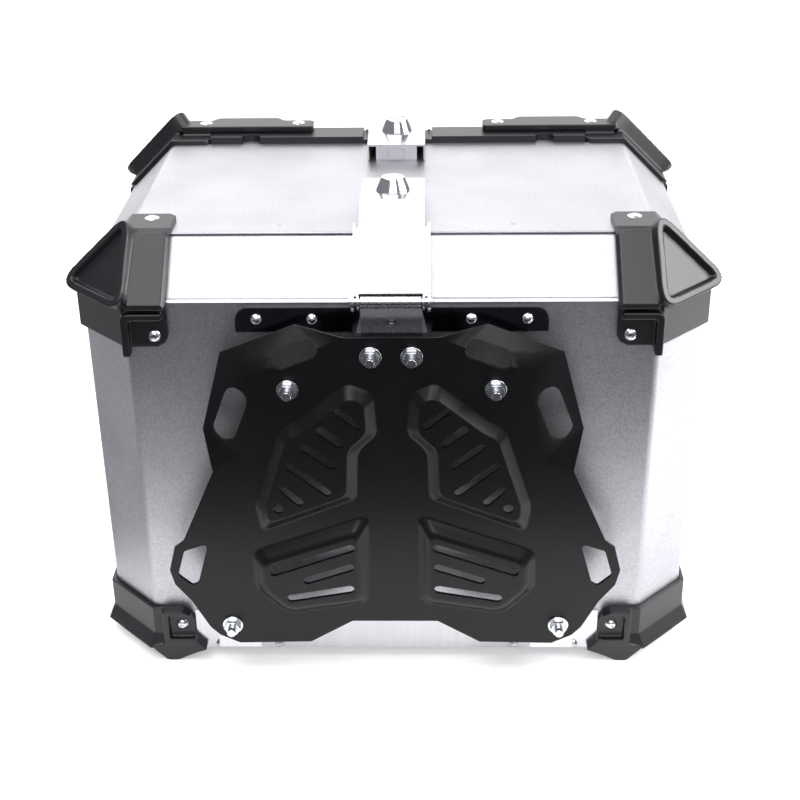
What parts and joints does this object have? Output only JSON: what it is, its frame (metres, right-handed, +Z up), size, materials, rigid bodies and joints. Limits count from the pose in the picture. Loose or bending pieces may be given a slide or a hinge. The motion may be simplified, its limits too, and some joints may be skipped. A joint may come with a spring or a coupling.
{
  "type": "top case",
  "caption": "Aluminium motorcycle top case with a lid clamped by a latch at front and rear, plastic corner guards and a vented backrest plate on stand-off brackets.",
  "frame": {"origin": "on the underside of the case body, in the middle of the four mounting holes", "axes": "+X to the right across the width, +Y to the rear, away from the backrest plate, +Z up"},
  "size_m": [0.4428, 0.3558, 0.3414],
  "materials": {
    "aluminium": "blasted and clear anodised",
    "guard": "fine grained black nylon",
    "seal": "matt",
    "dark_steel": "polished stainless sheet",
    "steel": "bright polished stainless sheet",
    "cast": "sand textured grey coat",
    "black_coat": "matt black powder coat",
    "fastener": "zinc plated",
    "chrome": "mirror chrome"
  },
  "bodies": {
    "case_body": {"body_shell": "aluminium", "floor_stiffener": "aluminium", "rim_seal": "seal", "body_guard_front_left": "guard", "body_guard_front_right": "guard", "body_guard_rear_left": "guard", "body_guard_rear_right": "guard", "foot_guard_front_left": "guard", "foot_guard_front_right": "guard", "foot_guard_rear_left": "guard", "foot_guard_rear_right": "guard", "body_guard_screws": "fastener", "foot_guard_screws": "fastener", "front_hinge_bracket": "cast", "rear_hinge_bracket": "cast", "hinge_bracket_screws": "fastener", "upper_backrest_bracket": "dark_steel", "lower_backrest_bracket": "steel", "upper_bracket_rivets": "fastener", "lower_bracket_rivets": "fastener", "backrest_plate": "black_coat", "backrest_studs": "fastener", "backrest_flange_nuts": "fastener"},
    "lid": {"lid_top_sheet": "aluminium", "lid_front_panel": "aluminium", "lid_rear_panel": "aluminium", "lid_rim_frame": "aluminium", "lid_panel_rivets": "fastener", "lid_guard_front_left": "guard", "lid_guard_front_right": "guard", "lid_guard_rear_left": "guard", "lid_guard_rear_right": "guard", "rear_cross_rail": "guard", "lid_guard_rivets": "fastener", "front_channel": "steel", "rear_channel": "steel", "front_hinge_pin": "steel", "rear_hinge_pin": "steel", "front_hinge_sleeve": "steel", "rear_hinge_sleeve": "steel", "front_catch": "steel", "rear_catch": "steel"},
    "front_latch": {"front_latch_arm": "steel", "front_lock_bezel": "chrome"},
    "rear_latch": {"rear_latch_arm": "steel", "rear_lock_bezel": "chrome"},
    "front_lock": {"front_lock_core": "chrome", "front_lock_cam": "steel"},
    "rear_lock": {"rear_lock_core": "chrome", "rear_lock_cam": "steel"}
  },
  "joints": [
    {"name": "lid_hinge", "type": "hinge", "parent": "case_body", "child": "lid", "pos_m": [0, 0.161, 0.28], "axis": [-1, 0, 0], "range_deg": [0, 90]},
    {"name": "front_latch_swing", "type": "hinge", "parent": "lid", "child": "front_latch", "pos_m": [0, -0.161, 0.28], "axis": [1, 0, 0], "range_deg": [0, 75]},
    {"name": "rear_latch_swing", "type": "hinge", "parent": "lid", "child": "rear_latch", "pos_m": [0, 0.161, 0.28], "axis": [-1, 0, 0], "range_deg": [0, 75]},
    {"name": "front_lock_turn", "type": "hinge", "parent": "front_latch", "child": "front_lock", "pos_m": [0, -0.071, 0.32427], "axis": [0, 0.0709, 0.9975], "range_deg": [0, 90]},
    {"name": "rear_lock_turn", "type": "hinge", "parent": "rear_latch", "child": "rear_lock", "pos_m": [0, 0.071, 0.32427], "axis": [0, -0.0709, 0.9975], "range_deg": [-90, 0]}
  ]
}
